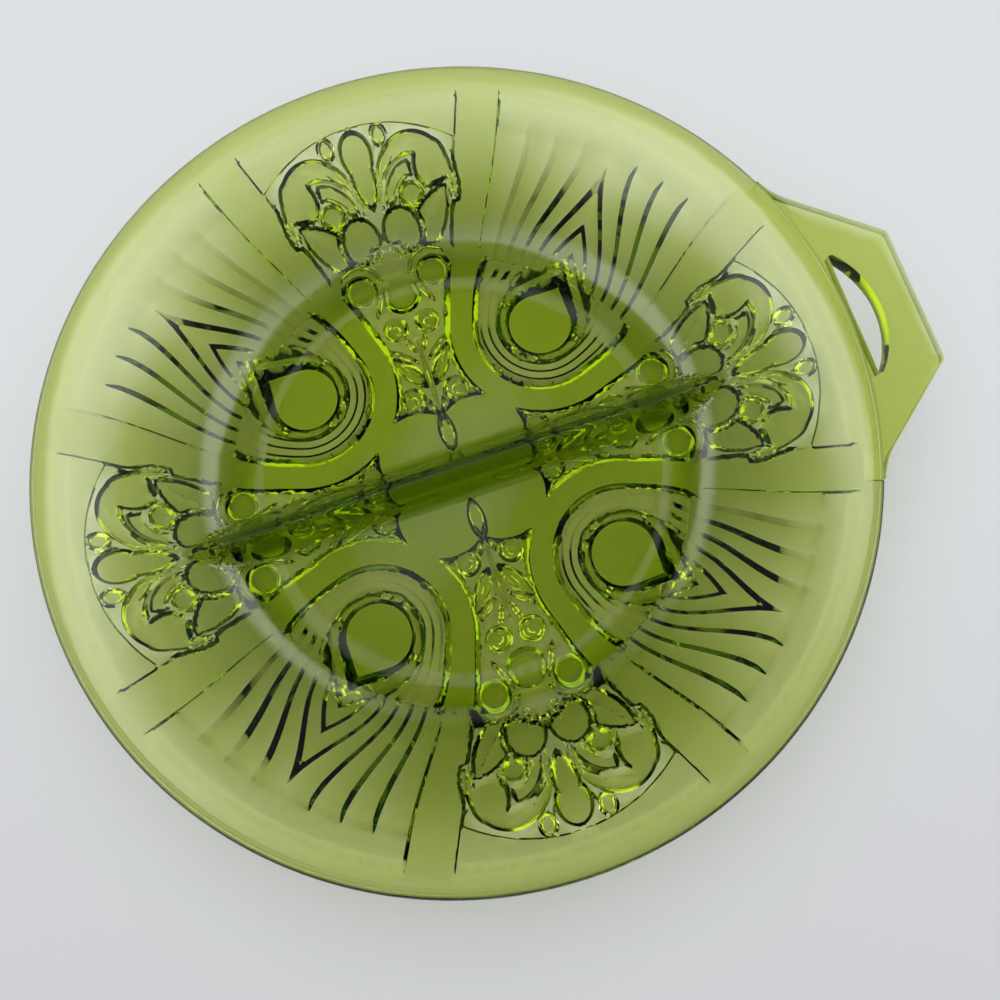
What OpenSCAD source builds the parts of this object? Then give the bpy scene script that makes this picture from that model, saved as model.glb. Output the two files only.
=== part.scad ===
// A round, one-handled relish dish in pressed glass, divided in two by a low bar.
// Underside and outside carry the pressed ornament; the inside is smooth.
// Origin: the dish's axis on the plane it stands on. +X runs along the bar to the handle, +Z is up.

/* [Dish] */
// Radius of the dish at its rim
rim_r = 102; // [96:1:110]
// Height of the dish
dish_h = 35.5; // [32:0.5:39]
// Height of the inside floor above the table
floor_top = 5; // [4:0.1:6]
// Glass thickness of the wall with its ornament
wall_t = 4.4; // [3.8:0.1:5]
// Radius of the fire-polished rim
rim_edge_r = 1.9; // [1.6:0.1:2.2]
// Radius of the edge between underside and wall, as a share of the rim's
heel_share = 0.6196; // [0.6:0.002:0.64]
// Degrees by which the straight wall is steeper than a line from heel to rim
wall_lead = 1.4; // [1:0.1:3]
// Degrees by which the wall lies flatter at the rim than that line
rim_fall = 9.1; // [7:0.1:12]

/* [Ornament] */
// Depth of the pressed ornament
relief_h = 1.4; // [0.8:0.1:1.8]
// Outer radius of the fans of flutes, as a share of the rim's
fan_share = 0.892; // [0.874:0.002:0.9]
// Radius at which the ornament ends, as a share of the rim's
relief_share = 0.9235; // [0.922:0.0005:0.94]
// Distance of an eye's centre from the dish's axis, as a share of the rim's radius
eye_place_share = 0.4814; // [0.476:0.0002:0.486]
// Radius of an eye's smooth disc, as a share of the rim's
eye_disc_share = 0.0863; // [0.08:0.0001:0.092]
// Width of the bevel round the disc's point, as a share of the rim's radius
eye_bevel_share = 0.051; // [0.04:0.001:0.06]
// Inner radius of the plain ribbon round an eye, as a share of the rim's
ribbon_in_share = 0.1902; // [0.186:0.0002:0.196]
// Outer radius of the plain ribbon round an eye, as a share of the rim's
ribbon_out_share = 0.25; // [0.246:0.001:0.255]
// Width of a ridge between the rings of an eye, as a share of the rim's radius
ring_w_share = 0.0127; // [0.009:0.0001:0.016]

/* [Bar] */
// Height of the bar above the inside floor
bar_h = 10.6; // [8:0.2:13]
// Width of the bar where its sides meet the floor
bar_foot_w = 12.4; // [11:0.2:15]
// Width of the bar's round top
bar_top_w = 2.8; // [2:0.1:4]

/* [Handle] */
// Reach of the handle past the rim
handle_reach = 16.8; // [14:0.2:20]
// Width of the handle at its outer edge
handle_end_w = 35; // [30:1:40]
// Width over which the handle grows out of the rim
handle_root_w = 73; // [66:1:78]
// Thickness of the handle
handle_t = 4.4; // [3.8:0.1:5]
// Length of the finger slot
slot_l = 34.4; // [30:0.2:36]
// Width of the finger slot
slot_w = 7.4; // [6.6:0.2:8]

/* [Hidden] */
$fn = 96;
glass = [0.53, 0.62, 0.22];
deep_glass = [0.36, 0.45, 0.1];
pale_glass = [0.68, 0.75, 0.42];
past = 1; // overrun of every cutting shape
seam_angle = 20; // a turned surface closes here, in the plain strap beside a palmette

// Number of straight steps along each curve of the dish's section
curve_steps = 6;

// Radii of the ornament's main parts
heel_r = rim_r * heel_share;
fan_r = rim_r * fan_share;
relief_r = rim_r * relief_share;
eye_place_r = rim_r * eye_place_share;
eye_disc_r = rim_r * eye_disc_share;
eye_point_bevel = rim_r * eye_bevel_share;
ribbon_in_r = rim_r * ribbon_in_share;
ribbon_out_r = rim_r * ribbon_out_share;
ring_w = rim_r * ring_w_share;

// Section of the dish: heel, straight wall, then a slow flare to the rim
heel_rise = 0.3;
mean_slope = atan2(dish_h - rim_edge_r - heel_rise, rim_r - rim_edge_r - heel_r);
wall_slope = mean_slope + wall_lead;
rim_slope = mean_slope - rim_fall;
heel_fall = 18;
heel_slope = mean_slope - heel_fall;
heel_land = 1.6;
heel_curve_r = 22;
floor_curve_r = 29;

// Points of the section are [radius, height, slope]
// Points on an arc that runs on from point p, from its slope to slope b, with radius r
function arc_from(p, r, b) = [
    for (i = [1 : curve_steps])
        let (a = p[2], s = a + (b - a) * i / curve_steps, turn = sign(b - a))
        [p[0] + turn * r * (sin(s) - sin(a)), p[1] - turn * r * (cos(s) - cos(a)), s]
];
// Radius of the flare that leaves the straight through p and ends at q
function flare_radius(p, q) =
    (p[1] + tan(p[2]) * (q[0] - p[0]) - q[1])
    / (tan(p[2]) * (sin(p[2]) - sin(q[2])) - (cos(q[2]) - cos(p[2])));
function flare_start(p, q) =
    let (r = q[0] - flare_radius(p, q) * (sin(p[2]) - sin(q[2])))
    [r, p[1] + tan(p[2]) * (r - p[0]), p[2]];
function flare(p, q) = concat([flare_start(p, q)], arc_from(flare_start(p, q), flare_radius(p, q), q[2]));
// A point or a path moved into the glass by a depth, square to the surface
function sunk(p, depth) = [p[0] - depth * sin(p[2]), p[1] + depth * cos(p[2]), p[2]];
function sunk_path(path, depth) = [for (p = path) sunk(p, depth)];
function turned_round(path) = [for (i = [len(path) - 1 : -1 : 0]) path[i]];
function flat(path) = [for (p = path) [p[0], p[1]]];

rim_mid = [rim_r - rim_edge_r, dish_h - rim_edge_r, rim_slope];
rim_out = sunk(rim_mid, -rim_edge_r);
rim_in = sunk(rim_mid, rim_edge_r);

heel = [heel_r, heel_rise, heel_slope];
heel_arc = arc_from(heel, heel_curve_r, wall_slope);
wall_foot = heel_arc[curve_steps - 1];
out_path = concat([[0, 0, 0], [heel_r - heel_land, 0, 0], heel], heel_arc, flare(wall_foot, rim_out));

in_wall = sunk(wall_foot, wall_t);
in_corner_r = in_wall[0] - (in_wall[1] - floor_top) / tan(wall_slope);
floor_r = in_corner_r - floor_curve_r * tan(wall_slope / 2);
in_path = concat([[0, floor_top, 0], [floor_r, floor_top, 0]],
    arc_from([floor_r, floor_top, 0], floor_curve_r, wall_slope), flare(in_wall, rim_in));
ground_path = sunk_path(out_path, relief_h);

module turn_solid() {
    rotate_extrude($fn = 180)
        children();
}
module four_times() {
    for (k = [0 : 3])
        rotate(90 * k)
            children();
}
module both_sides() {
    children();
    mirror([1, 0])
        children();
}

// The band of a section between two radii
module between(r_in, r_out) {
    intersection() {
        children();
        translate([r_in, -past])
            square([r_out - r_in, dish_h + 2 * past]);
    }
}
// Section of the glass behind the ornament
module carrier_section() {
    polygon(flat(concat(ground_path, turned_round(in_path))));
}
// Everything that the dish's outside encloses, but for its ornament
module outside_solid() {
    turn_solid() {
        polygon(flat(concat(ground_path, [rim_mid, [0, rim_mid[1], 0]])));
        translate([rim_mid[0], rim_mid[1]])
            circle(rim_edge_r);
        square([rim_mid[0], dish_h]);
    }
}
// The space that the dish's inside encloses
module inside_space() {
    turn_solid()
        polygon(flat(concat(in_path, [[rim_in[0], dish_h + past, 0], [0, dish_h + past, 0]])));
}
// An outline drawn in plan, pressed into relief on the outside of the dish
module pressed(height_share = 1) {
    intersection() {
        linear_extrude(dish_h)
            children();
        rotate(seam_angle)
            turn_solid()
                polygon(flat(concat(sunk_path(out_path, relief_h * (1 - height_share)),
                    turned_round(ground_path))));
    }
}

// The plain glass: floor, wall and rim

module bowl_floor() {
    color(deep_glass)
        turn_solid()
            between(0, floor_r)
                carrier_section();
}
module bowl_wall() {
    color(glass)
        turn_solid()
            between(floor_r, relief_r)
                carrier_section();
}
module rim() {
    color(pale_glass)
        turn_solid()
            union() {
                between(relief_r, rim_r)
                    carrier_section();
                translate([rim_mid[0], rim_mid[1]])
                    circle(rim_edge_r);
            }
}

// The low bar across the floor
bar_top_r = bar_top_w / 2;
module bar_section() {
    polygon([
        [-bar_foot_w / 2, 0], [bar_foot_w / 2, 0],
        [bar_top_r, bar_h - bar_top_r], [-bar_top_r, bar_h - bar_top_r]
    ]);
    translate([0, bar_h - bar_top_r])
        circle(bar_top_r);
}
module divider() {
    color(deep_glass)
        intersection() {
            translate([-rim_r, 0, floor_top])
                rotate([90, 0, 90])
                    linear_extrude(2 * rim_r)
                        bar_section();
            inside_space();
        }
}

// The flat handle with its finger slot
handle_drop = 0.6; // below the top of the rim
handle_corner_r = 2.2;
handle_blend_r = 18;
slot_back = 0.4; // from the rim to the slot
slot_corner_r = 1.2;
handle_end_x = rim_r + handle_reach;
root = [sqrt(rim_r * rim_r - handle_root_w * handle_root_w / 4), handle_root_w / 2];
end_corner = [handle_end_x, handle_end_w / 2];
side_dir = (end_corner - root) / norm(end_corner - root);
side_out = [-side_dir[1], side_dir[0]];
// Centre of the blend that touches the rim and the handle's side
blend_line = root + handle_blend_r * side_out;
blend_half = blend_line * side_dir;
blend_run = -blend_half + sqrt(blend_half * blend_half - blend_line * blend_line
    + (rim_r + handle_blend_r) * (rim_r + handle_blend_r));
blend_mid = blend_line + blend_run * side_dir;
blend_side = blend_mid - handle_blend_r * side_out;
blend_rim = blend_mid * rim_r / (rim_r + handle_blend_r);
module handle_outline() {
    difference() {
        both_halves() {
            polygon([[0, 0], root, end_corner - handle_corner_r * side_dir,
                [handle_end_x, end_corner[1] - handle_corner_r], [handle_end_x, 0]]);
            polygon([[0, 0], blend_rim, blend_mid, blend_side, root]);
        }
        both_halves()
            translate(blend_mid)
                circle(handle_blend_r);
    }
}
module both_halves() {
    children();
    mirror([0, 1])
        children();
}
slot_x = rim_r + slot_back;
slot_arc_r = (slot_w * slot_w + slot_l * slot_l / 4) / (2 * slot_w);
module slot_outline() {
    intersection() {
        translate([slot_x + slot_w - slot_arc_r, 0])
            circle(slot_arc_r);
        translate([slot_x, -slot_l / 2 + slot_corner_r])
            square([slot_w, slot_l - 2 * slot_corner_r]);
    }
}
module handle() {
    color(pale_glass)
        difference() {
            translate([0, 0, dish_h - handle_drop - handle_t])
                linear_extrude(handle_t)
                    difference() {
                        handle_outline();
                        slot_outline();
                    }
            outside_solid();
            pressed()
                strap_outline();
        }
}

// The eyes: a disc drawn out to a point, rings and a plain ribbon.
// An eye is drawn with its point along +X.

fan_angle = 45; // a fan's axis, from the palmettes beside it
fan_edges = 5; // flutes on each side of the axis
fan_end_pitch = 5; // degrees
fan_foot_pitch = 3.3; // degrees
fan_foot_angle = 22.8; // from the palmette's axis to the fan's edge at the heel
strap_foot_angle = 15.5; // from the palmette's axis to the strap's edge at the heel
flare_angle = 116; // from the point, where the rings start to open
ring_steps = 12;
groove_share = 0.13; // of a flute's width, on each side

eye_mid = [eye_place_r, 0];
strap_back = 0.2; // how far inside the heel's edge the rings and ribbons end and the straps begin
strap_start_r = heel_r - strap_back;
// Places on the heel are named by their angle from the palmette's axis
function on_heel(angle) = heel_r * [cos(fan_angle - angle), sin(fan_angle - angle)];
function foot_angle(k) = fan_foot_angle + fan_foot_pitch * (fan_edges - k);
// A ring's line round an eye: round at radius r, opening to a place on the heel at each end
function ring_line(r, foot) =
    let (to = foot - eye_mid, end = atan2(to[1], to[0]), last = 2 * ring_steps)
    [for (i = [0 : last])
        let (a = end + (360 - 2 * end) * i / last,
            u = max(0, 1 - (min(a, 360 - a) - end) / (flare_angle - end)),
            d = r + (norm(to) - r) * u * u)
        eye_mid + d * [cos(a), sin(a)]];
module eye_band(r_in, foot_in, r_out, foot_out) {
    polygon(concat(ring_line(r_in, foot_in), turned_round(ring_line(r_out, foot_out))));
}
module every_eye() {
    four_times()
        rotate(fan_angle)
            children();
}
point_in = 0.2; // how far inside the disc's edge its point's sides start, so that they cross it cleanly
module square_point(side) {
    translate(eye_mid)
        rotate(-fan_angle)
            square(side);
}
module disc_outline() {
    translate(eye_mid)
        circle(eye_disc_r);
    square_point(eye_disc_r - point_in);
}
bevel_share = 0.45; // of the ornament's depth
eye_bevel_out = 4.6;
module eye_discs() {
    color(deep_glass)
        union() {
            pressed()
                every_eye()
                    disc_outline();
            pressed(bevel_share)
                every_eye()
                    difference() {
                        intersection() {
                            square_point(eye_disc_r + eye_point_bevel);
                            translate(eye_mid + [eye_bevel_out, 0])
                                circle(eye_disc_r + eye_bevel_out);
                        }
                        disc_outline();
                    }
        }
}
ring_count = 4;
ring_start = 1.7; // from the disc to the first ring's middle line
ring_foot_share = 0.36; // of a flute's width, on each side of its middle
ring_share = 0.7; // of the ornament's depth
ring_pitch = (ribbon_in_r - eye_disc_r - ring_start) / ring_count;
module eye_rings() {
    color(glass)
        pressed(ring_share)
            inside_straps()
                every_eye()
                    for (k = [0 : ring_count - 1]) {
                        mid_r = eye_disc_r + ring_start + (k + 1 / 2) * ring_pitch;
                        mid_angle = (foot_angle(k + 1) + foot_angle(k + 2)) / 2;
                        half_angle = ring_foot_share * fan_foot_pitch;
                        eye_band(mid_r - ring_w / 2, on_heel(mid_angle + half_angle),
                            mid_r + ring_w / 2, on_heel(mid_angle - half_angle));
                    }
}
module ribbon_arches() {
    color(deep_glass)
        pressed()
            inside_straps()
                every_eye()
                    eye_band(ribbon_in_r, on_heel(fan_foot_angle), ribbon_out_r, on_heel(strap_foot_angle));
}
module inside_straps() {
    intersection() {
        circle(strap_start_r);
        children();
    }
}

// The fans of curved flutes on the wall
// Line k of a fan, as points in plan; the palmette's axis is +X here
function fan_line(k, from_r, to_r) = [
    for (i = [0 : curve_steps])
        let (r = from_r + (to_r - from_r) * i / curve_steps,
            t = min(1, (r - heel_r) / (fan_r - heel_r)), s = t * t * (3 - 2 * t),
            foot = foot_angle(k), end = fan_angle + fan_end_pitch * (1 - k))
        r * [cos(foot + (end - foot) * s), sin(foot + (end - foot) * s)]
];
module half_fan_space() {
    polygon([[0, 0], [rim_r, 0], [rim_r, rim_r]]);
}
module both_half_fans() {
    children();
    mirror([1, -1])
        children();
}
flute_share = 0.85; // of the ornament's depth
petal_share = 0.8;
flute_start = 0.5; // from the heel
module fan_flutes() {
    color(glass)
        pressed(flute_share)
            four_times()
                both_half_fans()
                    intersection() {
                        half_fan_space();
                        circle(fan_r - flute_start);
                        for (k = [0 : fan_edges - 1])
                            polygon(concat(
                                fan_line(k + groove_share, heel_r + flute_start, fan_r),
                                turned_round(fan_line(k + 1 - groove_share, heel_r + flute_start, fan_r))));
                    }
}
// All that lies between the two straps beside a fan
module fan_space() {
    both_half_fans()
        polygon(concat([[0, 0]], fan_line(fan_edges, heel_r - past, fan_r + past),
            fan_line(fan_edges, fan_r + past, 2 * rim_r), [[rim_r, rim_r]]));
}

// The palmettes and the sprays between the eyes.
// They are drawn along +Y, right half only, in shares of the ornament's radius.

panel_arc_shares = [0.520, 0.478]; // middle on the axis, radius
panel_side_shares = [[0.178, 0.648], [0.381, 1.1]];
scroll_out_shares = [0.140, 0.845, 0.119]; // x, y, radius
scroll_in_shares = [0.133, 0.812, 0.100];
scroll_foot_share = 0.825;
boss_shares = [0.201, 0.884, 0.053];
curl_out_shares = [0.111, 0.826, 0.045];
curl_in_shares = [0.109, 0.807, 0.039];
lobe_shares = [[0, 0.882], [0, 0.998], 0.088]; // leaf: foot, tip, width
bead_shares = [0.080, 0.966, 0.018];
round_petal_shares = [0.0605, 0.768, 0.059];
side_petal_shares = [[0.085, 0.703], [0.226, 0.826], 0.075];
stamen_shares = [
    [0.012, 0.738, 0.008], [0.036, 0.730, 0.009], [0.055, 0.716, 0.008],
    [0.022, 0.712, 0.009], [0.040, 0.700, 0.008]
];
side_bud_shares = [0.112, 0.640, 0.050];
hood_out_shares = [0.112, 0.637, 0.070];
hood_in_shares = [0.112, 0.637, 0.059];
hood_foot_share = 0.655;
bud_shares = [[0, 0.572, 0.055], [0, 0.598, 0.047]];
bud_leaf_shares = [[0.045, 0.630], [0.092, 0.530], 0.020];
swirl_shares = [[0.049, 0.484, 0.038], [0.066, 0.254, 0.039]];
swirl_hole_shares = [[0.056, 0.481, 0.014], [0.072, 0.250, 0.014]];
leaf_shares = [
    [[0.012, 0.362], [0.090, 0.430], 0.018],
    [[0.006, 0.280], [0.092, 0.402], 0.052],
    [[0.010, 0.392], [0.034, 0.452], 0.022],
    [[0.008, 0.192], [0.036, 0.262], 0.022]
];
stem_shares = [[0, 0.180], [0, 0.440], 0.016];
core_leaf_shares = [[0, 0.085], [0, 0.178], 0.026];
core_groove_shares = [[0, 0.066], [0, 0.215], 0.052];
field_lobe_shares = [0.089, 0.089, 0.131];

module disc_of(shares) {
    translate(relief_r * [shares[0], shares[1]])
        circle(relief_r * shares[2]);
}
// A leaf from its foot to its tip, with its greatest width, between two arcs
module leaf_of(shares) {
    foot = relief_r * shares[0];
    tip = relief_r * shares[1];
    bulge = relief_r * shares[2] / 2;
    half_l = norm(tip - foot) / 2;
    arc_r = (half_l * half_l + bulge * bulge) / (2 * bulge);
    translate((foot + tip) / 2)
        rotate(atan2(tip[1] - foot[1], tip[0] - foot[0]))
            intersection() {
                translate([0, arc_r - bulge])
                    circle(arc_r);
                translate([0, bulge - arc_r])
                    circle(arc_r);
            }
}
module above(share) {
    intersection() {
        children();
        translate([-rim_r, relief_r * share])
            square([2 * rim_r, rim_r]);
    }
}
// All that lies between the two straps beside a palmette
module palmette_space() {
    polygon(relief_r * [
        panel_side_shares[0], panel_side_shares[1],
        [-panel_side_shares[1][0], panel_side_shares[1][1]],
        [-panel_side_shares[0][0], panel_side_shares[0][1]]
    ]);
}
module panel_arc(width) {
    translate([0, relief_r * panel_arc_shares[0]])
        circle(relief_r * panel_arc_shares[1] + width);
}
arc_rib_w = 1;
arc_rib_share = 0.4; // of the ornament's depth
strap_end_r = rim_r - 2 * rim_edge_r - strap_back;
module strap_outline() {
    difference() {
        circle(strap_end_r);
        circle(strap_start_r);
        four_times() {
            fan_space();
            palmette_space();
        }
    }
}
module wall_straps() {
    color(glass)
        union() {
            pressed()
                strap_outline();
            pressed(arc_rib_share)
                four_times()
                    intersection() {
                        difference() {
                            panel_arc(arc_rib_w);
                            panel_arc(0);
                            translate([-rim_r, -rim_r])
                                square([2 * rim_r, rim_r]);
                        }
                        palmette_space();
                    }
        }
}
// The outlines of one palmette and of the spray below it
module scroll_outline() {
    both_sides() {
        above(scroll_foot_share)
            difference() {
                disc_of(scroll_out_shares);
                disc_of(scroll_in_shares);
            }
        disc_of(boss_shares);
        above(curl_in_shares[1])
            difference() {
                disc_of(curl_out_shares);
                disc_of(curl_in_shares);
            }
        disc_of(bead_shares);
    }
    leaf_of(lobe_shares);
}
module petal_outline() {
    both_sides() {
        disc_of(round_petal_shares);
        leaf_of(side_petal_shares);
    }
}
module calyx_outline() {
    both_sides() {
        for (s = stamen_shares)
            disc_of(s);
        disc_of(side_bud_shares);
        above(hood_foot_share)
            difference() {
                disc_of(hood_out_shares);
                disc_of(hood_in_shares);
            }
        leaf_of(bud_leaf_shares);
    }
    for (s = bud_shares)
        disc_of(s);
}
module spray_outline() {
    both_sides() {
        for (i = [0 : len(swirl_shares) - 1])
            difference() {
                disc_of(swirl_shares[i]);
                disc_of(swirl_hole_shares[i]);
            }
        for (s = leaf_shares)
            leaf_of(s);
    }
    leaf_of(stem_shares);
    leaf_of(core_leaf_shares);
}
module palmette_scrolls() {
    color(glass)
        pressed()
            four_times()
                difference() {
                    scroll_outline();
                    petal_outline();
                }
}
module palmette_petals() {
    color(deep_glass)
        pressed(petal_share)
            four_times()
                difference() {
                    petal_outline();
                    calyx_outline();
                }
}
module calyx_buds() {
    color(deep_glass)
        pressed(petal_share)
            four_times()
                calyx_outline();
}
module leaf_sprays() {
    color(glass)
        pressed(petal_share)
            four_times()
                spray_outline();
}
module center_field() {
    color(deep_glass)
        pressed()
            difference() {
                four_times()
                    disc_of(field_lobe_shares);
                four_times() {
                    leaf_of(core_groove_shares);
                    spray_outline();
                }
                every_eye()
                    translate(eye_mid)
                        circle(ribbon_out_r);
            }
}

bowl_floor();
bowl_wall();
rim();
divider();
handle();
center_field();
ribbon_arches();
wall_straps();
eye_discs();
eye_rings();
fan_flutes();
palmette_scrolls();
palmette_petals();
calyx_buds();
leaf_sprays();
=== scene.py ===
import math

import bmesh
import bpy
import numpy as np
from mathutils import Matrix, Vector
from mathutils.geometry import delaunay_2d_cdt


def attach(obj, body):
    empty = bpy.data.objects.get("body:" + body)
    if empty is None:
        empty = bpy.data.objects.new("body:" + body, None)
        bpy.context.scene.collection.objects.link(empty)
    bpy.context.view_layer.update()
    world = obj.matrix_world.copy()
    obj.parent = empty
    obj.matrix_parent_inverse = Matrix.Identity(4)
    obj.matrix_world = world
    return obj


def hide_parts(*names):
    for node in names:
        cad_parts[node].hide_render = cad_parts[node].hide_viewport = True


# Round, one-handled relish dish in pressed green glass, on a pale table.
# Shapes are worked out in millimetres and brought to metres when a piece is finished.
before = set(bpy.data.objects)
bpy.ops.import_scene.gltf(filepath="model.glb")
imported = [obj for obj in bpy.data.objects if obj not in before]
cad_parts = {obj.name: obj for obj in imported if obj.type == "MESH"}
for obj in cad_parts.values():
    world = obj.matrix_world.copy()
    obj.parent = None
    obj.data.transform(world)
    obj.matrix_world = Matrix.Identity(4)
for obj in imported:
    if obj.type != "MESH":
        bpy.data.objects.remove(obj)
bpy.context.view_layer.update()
mm = 0.001
print("frame loaded:", len(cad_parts), "nodes")


def ease(t):
    t = np.clip(t, 0, 1)
    return t * t * (3 - 2 * t)


def easeFrom(start, r):  # 0 up to a radius, 1 after so many more millimetres
    return ease((r - start[0]) / start[1])


def easeBefore(end, r):  # 0 from so far before the end of the relief's mesh, 1 well inside it
    return ease((dish["skinEnd"] - end[0] - r) / end[1])


def pillow(t):  # a straight flank with a round shoulder
    t = np.clip(t, 0, 1)
    return np.where(t < 0.55, 1.35 * t, 1 - 1.27 * (1 - t) ** 2)


# Section of the dish
dish = {
    "rimR": 102,
    "height": 35.5,
    "edgeR": 1.9,  # round rim edge
    "floorTop": 5,
    "wallT": 4.4,
    "heelR": 63.2,
    "heelRise": 0.3,
    "flatGap": 1.6,  # from the end of the flat underside to the heel
    "heelArcR": 22,
    "floorArcR": 29,
    "wallLead": 1.4,  # degrees steeper than a line from heel to rim
    "rimFall": 9.1,
    "heelFall": 18,
    "reliefH": 1.4,
    "heelGap": 1.5,  # how far the wall stands back from the pads' plane at the heel
    "heelGapEnd": 80,
    "groundFrom": (60, 5),  # where the ground behind the ornament starts to follow the wall
    "skinEnd": 99,  # the relief's mesh ends here
    "insideEnd": 97,
    "turns": 360,  # steps round the rim
    "smoothBelow": 32,  # degrees; edges that turn more look sharp
}
midR = dish["rimR"] - dish["edgeR"]
midZ = dish["height"] - dish["edgeR"]
meanSlope = math.degrees(math.atan2(midZ - dish["heelRise"], midR - dish["heelR"]))
wallSlope = meanSlope + dish["wallLead"]
rimSlope = meanSlope - dish["rimFall"]


def arcFrom(p, radius, slope, steps=12):
    # points along an arc that turns a path from its slope at p to another slope, in degrees
    points = []
    for i in range(1, steps + 1):
        a, s = math.radians(p[2]), math.radians(p[2] + (slope - p[2]) * i / steps)
        turn = 1 if slope > p[2] else -1
        points.append([p[0] + turn * radius * (math.sin(s) - math.sin(a)),
                       p[1] - turn * radius * (math.cos(s) - math.cos(a)), math.degrees(s)])
    return points


def flareTo(p, q, steps=12):
    # a straight run from p and an arc that ends in q with q's slope
    a, b = math.radians(p[2]), math.radians(q[2])
    radius = (p[1] + math.tan(a) * (q[0] - p[0]) - q[1]) / (
        math.tan(a) * (math.sin(a) - math.sin(b)) - (math.cos(b) - math.cos(a)))
    r = q[0] - radius * (math.sin(a) - math.sin(b))
    start = [r, p[1] + math.tan(a) * (r - p[0]), p[2]]
    return [start] + arcFrom(start, radius, q[2], steps)


def setIn(p, depth):
    a = math.radians(p[2])
    return [p[0] - depth * math.sin(a), p[1] + depth * math.cos(a), p[2]]


rimMid = [midR, midZ, rimSlope]
rimOut, rimIn = setIn(rimMid, -dish["edgeR"]), setIn(rimMid, dish["edgeR"])
heel = [dish["heelR"], dish["heelRise"], meanSlope - dish["heelFall"]]
wallFoot = arcFrom(heel, dish["heelArcR"], wallSlope)[-1]
outPath = [[0, 0, 0], [dish["heelR"] - dish["flatGap"], 0, 0], heel]
outPath += arcFrom(heel, dish["heelArcR"], wallSlope) + flareTo(wallFoot, rimOut)
inWall = setIn(wallFoot, dish["wallT"])
cornerR = inWall[0] - (inWall[1] - dish["floorTop"]) / math.tan(math.radians(wallSlope))
floorR = cornerR - dish["floorArcR"] * math.tan(math.radians(wallSlope / 2))
inFloor = [floorR, dish["floorTop"], 0]
inPath = [[0, dish["floorTop"], 0], inFloor] + arcFrom(inFloor, dish["floorArcR"], wallSlope)
inPath += flareTo(inWall, rimIn)
outTable, inTable = np.array(outPath), np.array(inPath)


def outZ(r):
    return np.interp(r, outTable[:, 0], outTable[:, 1])


def strapZ(r):  # plain wall surface of the straps and the rim zone
    back = 1 - ease((r - dish["heelR"]) / (dish["heelGapEnd"] - dish["heelR"]))
    return outZ(r) + dish["heelGap"] * back


def wallLean(r):  # slope of the plain wall, and its length for each millimetre in plan
    step = 0.05
    slope = (strapZ(r + step) - strapZ(r - step)) / (2 * step)
    return slope, np.sqrt(1 + slope * slope)


def groundZ(r):  # surface behind the ornament, and how much a height on it grows along Z
    lean = wallLean(r)[1]
    wall = strapZ(r) + dish["reliefH"] * lean
    t = easeFrom(dish["groundFrom"], r)
    return dish["reliefH"] * (1 - t) + wall * t, 1 + (lean - 1) * t


def insideZ(r):
    return np.interp(r, inTable[:, 0], inTable[:, 1])


# Pressed ornament in plan, for one eighth of the dish; +Y is a palmette's axis
ornament = {
    "eyeAt": 49.1,  # along the diagonal
    "discR": 8.8,
    "padSlope": 1.15,
    "ribbonIn": 19.4,
    "ribbonOut": 25.5,
    "fanR": 92.5,
    "lineEnd": 91,  # where the flute lines reach their outer pitch
    "fanFoot": 39.3,  # degrees from the palmette's axis, first flute line at the heel
    "footPitch": 3.3,
    "fanEnd": 50,
    "endPitch": 5,
    "firstRing": 10.5,
    "ringPitch": 2.225,
    "ringStep": 2.5,  # pitch of the rings where they open
    "ribbonLines": 2.212,
    "ribbonEdge": 7.212,
    "opens": 116,  # degrees round the eye where the rings start to open
    "fluteH": 1.35,
    "fluteDeep": [(63, 0.9), (66, 0.95), (73, 1.2), (80, 1.4), (86, 1.4), (89.5, 1.15), (91.5, 0.55),
                  (92.5, 0.0)],
    "fade": 0.45,  # slope at which the flutes run out
    "steep": 0.82,  # slope of the flutes' steep faces
    "ringSteep": 0.7,
    "shareRange": (0.05, 0.6),
    "lead": 0.4,  # slope of the half flute before the first line
    "hollow": -0.9,  # ground between the leaves and scrolls
    "rimH": 0.55,  # plain zone under the rim, over the ground
    "rimRise": (96, 2.8),  # from here it rises to the rim over so many millimetres
    "heelFrom": (60.5, 5),  # ends of ribbons rise to the wall
    "chevronW": 5.5,
    "chevronAt": 46,  # full width from here to the diagonal
    "chevronTaper": 0.0078,
    "chevronIn": 1.75,  # slope of the side at the disc
    "chevronSlope": 1.35,  # of the outer side
    "chevronOut": 1.6,  # of what rises beyond it
    "chevronLeft": 1.0,  # glass left above the hollow
    "ringTop": -0.6,
    "ringDeep": [(0, 0.5), (54, 0.5), (59, 0.9), (63.2, 1.0)],
    "ribbonSide": 1.35,
    "coreSide": 1.6,
    "coreGap": 0.15,
    "padsEnd": 76,
    "strapFoot": 15.5,
    "strapEnd": 17.5,
    "strapLow": 49.8,
    "strapRun": 26.8,
    "strapRamp": 1.4,
    "edgeRamp": 0.6,
    "seamDeep": 0.4,  # fine grooves along the straps
    "seamHalf": 0.45,
    "seamFrom": (64, 3),
    "seamEnd": (0.4, 0.5),
    "sideSeamFrom": 90,
    "arcRamp": 0.4,
    "panelMid": 49,
    "panelR": 45,
    "panelTop": 86,
    "palmetteHalf": 25,  # degrees
    "palmetteEnd": (93.8, 1.1),
    "sprayEnd": 62,
    "fieldEnd": 61,
}
edgeLine = 5  # flute and ring line along the strap and the ribbon
lastLine = 12  # lines round the eye are worked out up to this one
lineGap = 0.25  # in steps of this
far = 99.0
eyeX = ornament["eyeAt"] / math.sqrt(2)


def plotDisc(x, y, cx, cy, r):
    return r - np.hypot(x - cx, y - cy)


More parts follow.
